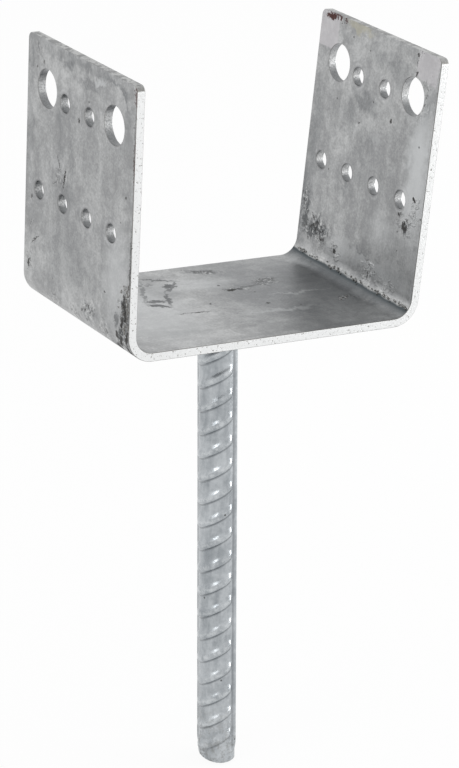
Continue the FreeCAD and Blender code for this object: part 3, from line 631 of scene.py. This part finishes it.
barSize = {  # mm and degrees
    "core": 12.4, "length": 160.0, "offset": -0.5, "under": -2.8, "turn": -32.0, "lean": 3.35,
    "spineHeight": 0.8, "spineWidth": 2.2, "spineTurn": -20.0, "spineStop": 4.0,
    "spineFade": (3.0, -2.6),      # above and below the stop
    "ribPitch": 8.14, "ribSlope": 28.0, "ribHeight": 0.84, "ribFoot": 1.95, "firstRib": 4.9,
    "plainEnd": 6.0, "lastRib": 0.8,  # share of its height that the last rib keeps
    "ribMiddle": -13.0, "ribReach": 84.0, "ribStop": 50.0,  # round the bar, from the front
    "ribShadowLine": 0.42, "ribCrest": 0.95, "spineShadeLine": 0.38,   # how wide their painted shadow, highlight and shade lines are
    "endRound": 4.9, "endShift": 3.0, "endSteps": 14,
    "endLip": 0.6, "endDish": 0.12, "endTorn": 0.10,        # the sheared face
    "waver": 0.05,                 # unevenness of the zinc
    "around": 136, "rowStep": 0.27,
}
coreRadius = barSize["core"] / 2
slope = math.radians(barSize["ribSlope"])
ribCount = int((barSize["length"] - barSize["plainEnd"] - barSize["firstRib"]) / barSize["ribPitch"]) + 1


def ribAt(angle, down):
    # angle is 0 at the front; how far the crescent rib stands out of the core here, and how close
    # this place is to the painted shadow line under the rib and to its painted crest highlight
    rise = line = crest = 0.0
    for half in (0.0, math.pi):
        a = (angle - half + math.pi) % (2 * math.pi) - math.pi
        share = abs(math.degrees(a) - barSize["ribMiddle"]) / barSize["ribReach"]
        if share >= 1:
            continue
        stop = smooth(barSize["ribStop"] + 5, barSize["ribStop"] - 4, math.degrees(a))
        height = barSize["ribHeight"] * (1 - share ** 3) * stop
        foot = barSize["ribFoot"] * (1 - 0.9 * share ** 5)
        climb = coreRadius * math.sin(a) * math.tan(slope)
        nearest = round((down + climb - barSize["firstRib"]) / barSize["ribPitch"])
        nearest = min(ribCount - 1, max(0, nearest))
        across = (barSize["firstRib"] + nearest * barSize["ribPitch"] - climb - down) * math.cos(slope)
        worn = barSize["lastRib"] if nearest == ribCount - 1 else 1.0
        # steep below, where the shadow lies, and easier above
        shape = smooth(-foot, -0.48 * foot, across) * smooth(foot, 0.05 * foot, across)
        rise = max(rise, height * shape * worn)
        inward = smooth(1.0, 0.9, share) * worn * stop
        line = max(line, inward * smooth(barSize["ribShadowLine"], 0.0, abs(across + foot * 0.93)))
        crest = max(crest, inward * smooth(barSize["ribCrest"], 0.1, abs(across + 0.1 * foot)))
    return rise, line, crest


def spineAt(angle, down):
    # radius with the two lengthwise ribs, and how close this place is to the foot of one, where
    # shade is painted
    tip = barSize["spineWidth"] / 2
    reach = coreRadius + barSize["spineHeight"] - tip
    spine = math.radians(barSize["spineTurn"]) + math.pi / 2
    best, foot = coreRadius, 0.0
    fadeFrom, fadeTo = (barSize["length"] - barSize["spineStop"] - gap for gap in barSize["spineFade"])
    fade = smooth(fadeTo, fadeFrom, down)
    for half in (0.0, math.pi):
        delta = (angle - spine - half + math.pi) % (2 * math.pi) - math.pi
        side = reach * math.sin(delta)
        if abs(delta) < math.pi / 2:
            foot = max(foot, fade * smooth(barSize["spineShadeLine"], 0.0, abs(abs(side) - tip)))
            if abs(side) < tip:
                out = reach * math.cos(delta) + math.sqrt(tip * tip - side * side)
                best = max(best, coreRadius + (out - coreRadius) * fade)
    return best, foot


def barPoint(angle, radius, down):
    return Vector((radius * math.sin(angle), -radius * math.cos(angle), -down))


barPlace = (Matrix.Translation(Vector((barSize["offset"], 0, barSize["under"])))
            @ Matrix.Rotation(math.radians(barSize["turn"]), 4, "Z")
            @ Matrix.Rotation(math.radians(-barSize["lean"]), 4, "Y"))
toMetres = Matrix.Scale(mm, 4)


def barRow(down, allowed=None):
    # one ring of the bar's skin, held inside the rounded end if allowed is given
    row = []
    for i in range(barSize["around"]):
        angle = 2 * math.pi * i / barSize["around"]
        spined, spineFoot = spineAt(angle, down)
        rise, line, crest = ribAt(angle, down)
        radius = spined + rise
        # kept for the bar's material: painted shadow under the ribs, crest highlight, shade at the
        # spines' feet
        barMarks.append((line, crest, spineFoot))
        waver = noise.noise(Vector((math.sin(angle) * 1.6, math.cos(angle) * 1.6, down * 0.14)))
        p = barPoint(angle, radius - barSize["waver"] + waver * barSize["waver"], down)
        if allowed is not None:
            offAxis = Vector((p.x - barSize["endShift"], p.y))
            if offAxis.length > allowed:
                offAxis *= allowed / offAxis.length
                p.x, p.y = offAxis.x + barSize["endShift"], offAxis.y
        row.append(toMetres @ barPlace @ p)
    return row


roundStart = barSize["length"] - barSize["endRound"]
steps = int(roundStart / barSize["rowStep"])
barRows, barMarks = [], []
for step in range(steps + 1):
    barRows.append(barRow(roundStart * step / steps))
innerReach = (coreRadius + barSize["spineHeight"] + 2 * barSize["endShift"]
              - barSize["endRound"] - barSize["endShift"])
for step in range(1, barSize["endSteps"] + 1):
    sweep = math.pi / 2 * step / barSize["endSteps"]
    barRows.append(barRow(roundStart + barSize["endRound"] * math.sin(sweep),
                          innerReach + barSize["endRound"] * math.cos(sweep)))
for share in (0.75, 0.5, 0.25, 0.06):  # the sheared face, slightly dished and torn
    flat = []
    for i in range(barSize["around"]):
        angle = 2 * math.pi * i / barSize["around"]
        torn = noise.noise(Vector((math.sin(angle) * share * 5, math.cos(angle) * share * 5, 3.3)))
        p = barPoint(angle, (innerReach - barSize["endLip"]) * share,
                     barSize["length"] - barSize["endDish"] - barSize["endTorn"] * torn)
        p.x += barSize["endShift"] * 0.6
        flat.append(toMetres @ barPlace @ p)
        barMarks.append((0.0, 0.0, 0.0))
    barRows.append(flat)
strapUnder = barSize["under"] * mm
for row in barRows[:8]:  # the leaning bar ends level, against the underside of the strap
    for p in row:
        p.z = min(p.z, strapUnder)
barMesh = meshFromRings("zincBar", barRows, capped=True, marks=barMarks)
barPiece = newPiece("zincBar", barMesh, barZinc, "ribbed_stem")
print("bar made", len(barPiece.data.polygons), "ribs", ribCount)


# the weld ring, laid in short overlapping ripples
weldSize = {  # mm
    "leg": 4.5, "toe": 1.2, "sunk": 0.2, "ripples": 34, "rippleHeight": 0.35, "lumps": 0.12,
    "around": 204, "section": 12,
}
weldRows = []
for i in range(weldSize["section"] + 1):
    t = i / weldSize["section"]
    row = []
    for j in range(weldSize["around"]):
        angle = 2 * math.pi * j / weldSize["around"]
        phase = angle * weldSize["ripples"] / (2 * math.pi) + 1.8 * (t - 0.5) ** 2
        crown = math.sin(math.pi * t)
        ripple = (phase % 1.0) ** 0.6 * crown
        radius = coreRadius - weldSize["sunk"] + (weldSize["leg"] - 0.15) * t ** 1.15
        lump = noise.noise(Vector((math.sin(angle) * 3, math.cos(angle) * 3, t * 3)))
        bulge = (weldSize["rippleHeight"] * ripple - 0.1) * crown + weldSize["lumps"] * lump
        radius += bulge * 0.7 + weldSize["toe"] * 0.4 * crown
        down = weldSize["leg"] * (1 - t) + bulge * 0.7
        row.append(Vector((barSize["offset"] + radius * math.sin(angle), -radius * math.cos(angle),
                           barSize["under"] - max(0.0, down))) * mm)
    weldRows.append(row)
weldPiece = newPiece("zincWeld", meshFromRings("zincWeld", weldRows), weldZinc,
                     "weld_bead")
print("weld made", len(weldPiece.data.polygons))


# lumps of dross caught in the zinc, in mm and degrees; a pair is the least and the most
drossSize = {
    "seed": 7, "stretch": (0.7, 1.3), "uneven": 0.35,
    "cornerLumps": 46, "cornerEdge": -34.0, "cornerSpread": 2.4, "cornerUp": (6.5, 22),
    "cornerWidth": (0.6, 1.7), "cornerHeight": (0.5, 0.9),
    "foldBeads": 80, "foldAlong": (-34, 32), "foldTurn": -31, "foldTurnSpread": 3,
    "foldTurnEnds": (-38, -20), "foldWidth": (0.35, 0.85), "foldHeight": (0.2, 0.42),
    "seatLumps": ((40.0, -10.5), (42.5, -9.5), (38.6, -12.2), (41.4, -11.0)),  # places: X and Y
    "seatWidth": 1.2, "seatHeight": 0.45,
}
dice = random.Random(drossSize["seed"])
dross = bmesh.new()


def addLump(centre, normal, width, height):
    # a low bead with an uneven outline, sunk a little into the face it sits on
    start = len(dross.verts)
    bmesh.ops.create_icosphere(dross, subdivisions=2, radius=1.0)
    dross.verts.ensure_lookup_table()
    turn = normal.to_track_quat("Z", "Y").to_matrix()
    offset = dice.uniform(0, 50)
    stretch = dice.uniform(*drossSize["stretch"])
    for vertex in dross.verts[start:]:
        p = vertex.co.copy()
        bump = 1 + drossSize["uneven"] * noise.noise(p * 1.3 + Vector((offset, 0, 0)))
        local = Vector((p.x * width * stretch, p.y * width / stretch, p.z * height)) * bump * 0.5
        vertex.co = (centre + turn @ local) * mm


halfInner, thickness = strapSize["halfInner"], strapSize["thickness"]
leftSpread, foldRadius = math.radians(strapSize["leftSpread"]), strapSize["foldRadius"]
for lump in range(drossSize["cornerLumps"]):  # the rough lower front corner of the left flange
    along = drossSize["cornerEdge"] + abs(dice.gauss(0, drossSize["cornerSpread"]))
    up = dice.uniform(*drossSize["cornerUp"])
    out = halfInner + up * math.tan(leftSpread) + thickness / math.cos(leftSpread)
    addLump(Vector((0.06 - out, along, up)), Vector((-1, 0, 0)),
            dice.uniform(*drossSize["cornerWidth"]), dice.uniform(*drossSize["cornerHeight"]))
leastTurn, mostTurn = drossSize["foldTurnEnds"]
for bead in range(drossSize["foldBeads"]):  # a line of beads part of the way up the right fold
    along = dice.uniform(*drossSize["foldAlong"])
    turn = dice.gauss(drossSize["foldTurn"], drossSize["foldTurnSpread"])
    turn = math.radians(min(mostTurn, max(leastTurn, turn)))
    outward = Vector((math.cos(turn), 0, math.sin(turn)))
    seat = Vector((halfInner - foldRadius, along, foldRadius)) + outward * (foldRadius + 0.02)
    addLump(seat, -outward, dice.uniform(*drossSize["foldWidth"]), dice.uniform(*drossSize["foldHeight"]))
for across, along in drossSize["seatLumps"]:
    addLump(Vector((across, along, 0.0)), Vector((0, 0, 1)), drossSize["seatWidth"],
            drossSize["seatHeight"])
drossMesh = bpy.data.meshes.new("zincDross")
dross.to_mesh(drossMesh)
dross.free()
newPiece("zincDross", drossMesh, strapZinc)
print("dross made", len(drossMesh.polygons))


camera = bpy.data.cameras.new("camera")
cameraObject = bpy.data.objects.new("camera", camera)
scene.collection.objects.link(cameraObject)
scene.camera = cameraObject
viewing = {"azimuth": -31.976, "elevation": 20.28, "roll": 3.83, "lens": 146.39,
           "from": (-0.50035, -0.81085, 0.32403)}
azimuth, elevation, roll = (math.radians(viewing[k]) for k in ("azimuth", "elevation", "roll"))
back = Vector((math.sin(azimuth) * math.cos(elevation), -math.cos(azimuth) * math.cos(elevation),
               math.sin(elevation)))
right = (-back).cross(Vector((0, 0, 1))).normalized()
up = right.cross(-back)
turnedRight = right * math.cos(roll) + up * math.sin(roll)
turnedUp = up * math.cos(roll) - right * math.sin(roll)
cameraObject.matrix_world = Matrix.Translation(Vector(viewing["from"])) @ Matrix(
    (turnedRight, turnedUp, back)).transposed().to_4x4()
camera.sensor_width = 36.0
camera.lens = viewing["lens"]
camera.clip_start, camera.clip_end = 0.02, 20.0


def seenStraight(tree):
    # 1 where the eye, a reflection or a view through glass meets the backdrop itself
    paths = addNode(tree, "LightPath", output=None)
    seen = paths["Is Camera Ray"]
    for name in ("Is Glossy Ray", "Is Transmission Ray"):
        seen = addNode(tree, "Math", [seen, paths[name]], operation="MAXIMUM")
    return seen


stageLook = {
    "paint": "#F2F2F1",
    "plain": 0.92,            # share of the floor that shows as plain white; the rest takes shadow
    "reach": 3.0,             # metres, half the floor
    "gap": 0.0005,            # metres, from the floor up to the bar's end
    "room": "#EEEEEF",
    "roomLight": 0.92,
}
floorLook, floorTree = newMaterial("matWhitePaint")  # rolled matt wall paint: even, no gloss
paint = addNode(floorTree, "BsdfDiffuse", {"Color": hexColour(stageLook["paint"])})
plainWhite = addNode(floorTree, "Emission", {"Color": (1, 1, 1, 1), "Strength": 1.0})
cover = addNode(floorTree, "Math", [seenStraight(floorTree), stageLook["plain"]], operation="MULTIPLY")
addNode(floorTree, "OutputMaterial",
        {"Surface": addNode(floorTree, "MixShader", [cover, paint, plainWhite])}, None)
floorMesh = bpy.data.meshes.new("floor")
reach, level = stageLook["reach"], cadLow.z - stageLook["gap"]
floorMesh.from_pydata([(-reach, -reach, level), (reach, -reach, level), (reach, reach, level),
                       (-reach, reach, level)], [], [(0, 1, 2, 3)])
floorMesh.materials.append(floorLook)
floor = bpy.data.objects.new("floor", floorMesh)
scene.collection.objects.link(floor)

world = bpy.data.worlds.new("softRoom")
scene.world = world
world.use_nodes = True
worldTree = world.node_tree
worldTree.nodes.clear()
room = addNode(worldTree, "Background", {"Color": hexColour(stageLook["room"]),
                                         "Strength": stageLook["roomLight"]})
whiteBack = addNode(worldTree, "Background", {"Color": (1, 1, 1, 1), "Strength": 1.0})
addNode(worldTree, "OutputWorld", {"Surface": addNode(worldTree, "MixShader", [
    seenStraight(worldTree), room, whiteBack])}, None)

lamps = [  # name, from, towards, width and height in metres, watts
    ("keyWindow", (1.36, -0.29, 0.14), (0.0, 0.0, -0.08), 1.5, 0.8, 16.5),
    ("leftWindow", (-1.13, -0.37, 0.74), (0.0, 0.0, -0.08), 0.5, 0.3, 2.6),
]
for lampName, source, aim, width, height, watts in lamps:
    lamp = bpy.data.lights.new(lampName, "AREA")
    lamp.shape, lamp.size, lamp.size_y, lamp.energy = "RECTANGLE", width, height, watts
    holder = bpy.data.objects.new(lampName, lamp)
    holder.location = source
    holder.rotation_mode = "QUATERNION"
    holder.rotation_quaternion = (Vector(aim) - Vector(source)).to_track_quat("-Z", "Y")
    scene.collection.objects.link(holder)
scene.view_settings.view_transform = "Standard"
